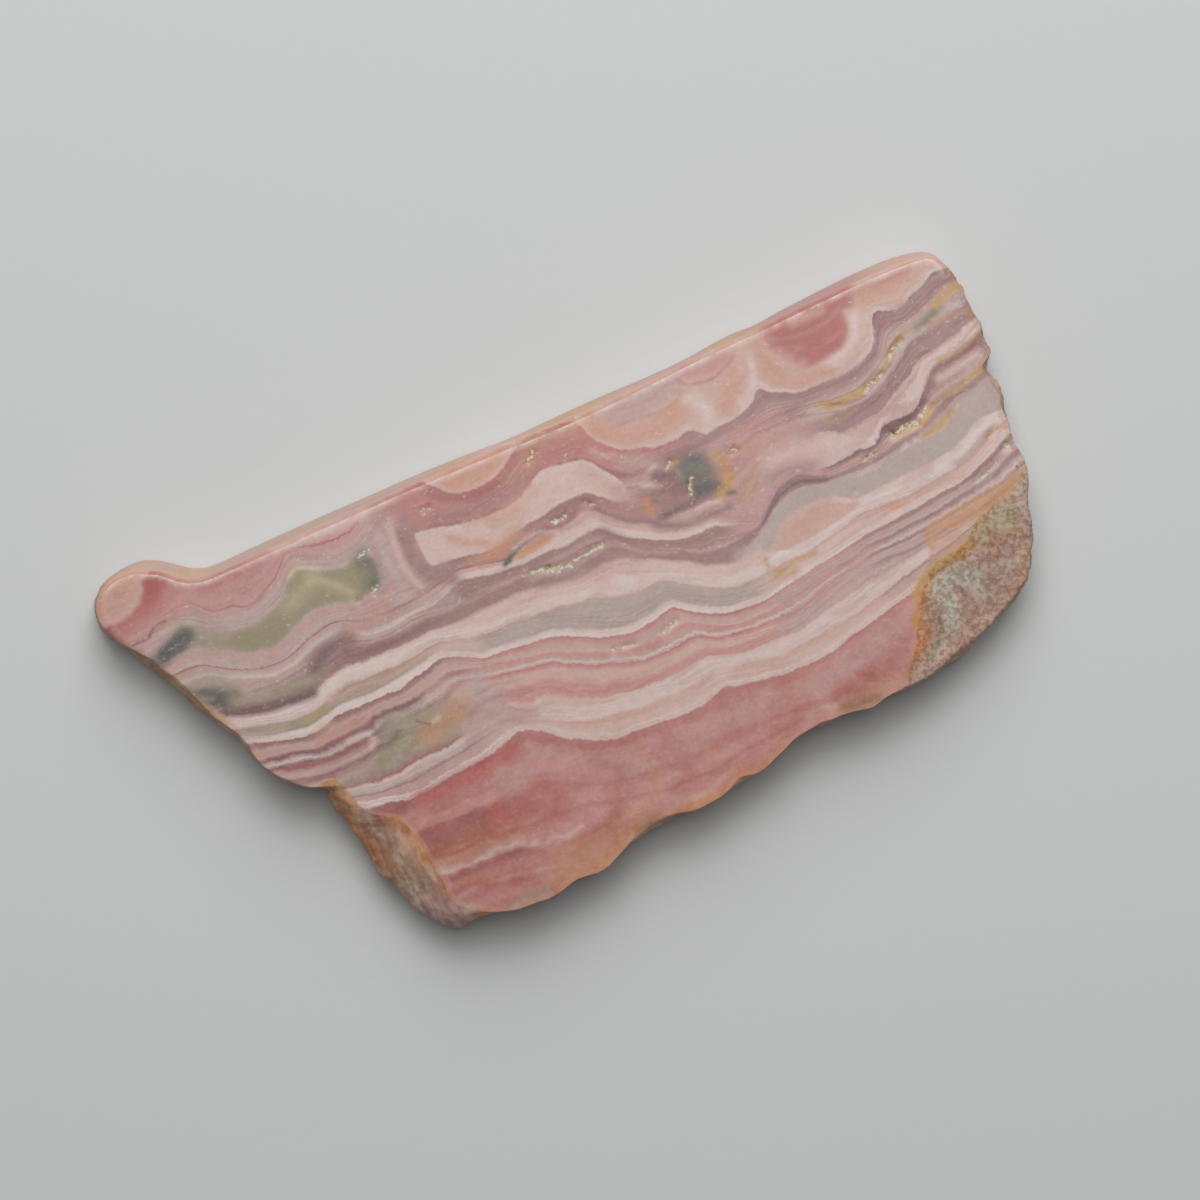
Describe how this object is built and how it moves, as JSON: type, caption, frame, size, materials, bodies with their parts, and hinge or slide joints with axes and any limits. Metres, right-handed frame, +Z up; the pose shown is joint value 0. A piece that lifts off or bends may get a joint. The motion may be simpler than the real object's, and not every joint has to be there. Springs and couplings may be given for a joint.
{
  "type": "rhodochrosite slice",
  "caption": "Polished slice of banded pink rhodochrosite with a straight sawn edge, broken sides and a patch of old rind, lying flat as a collector's specimen",
  "frame": {"origin": "middle of the slice's outline, on the surface that its sawn back lies on", "axes": "+X along the straight sawn edge, +Y from the broken lower edge towards the sawn edge, +Z up out of the polished face"},
  "size_m": [0.0751, 0.0384, 0.005],
  "materials": {
    "banded_rhodochrosite": "polished face, rough broken edges"
  },
  "bodies": {
    "root": {"rhodochrosite_slice": "banded_rhodochrosite"}
  },
  "joints": []
}
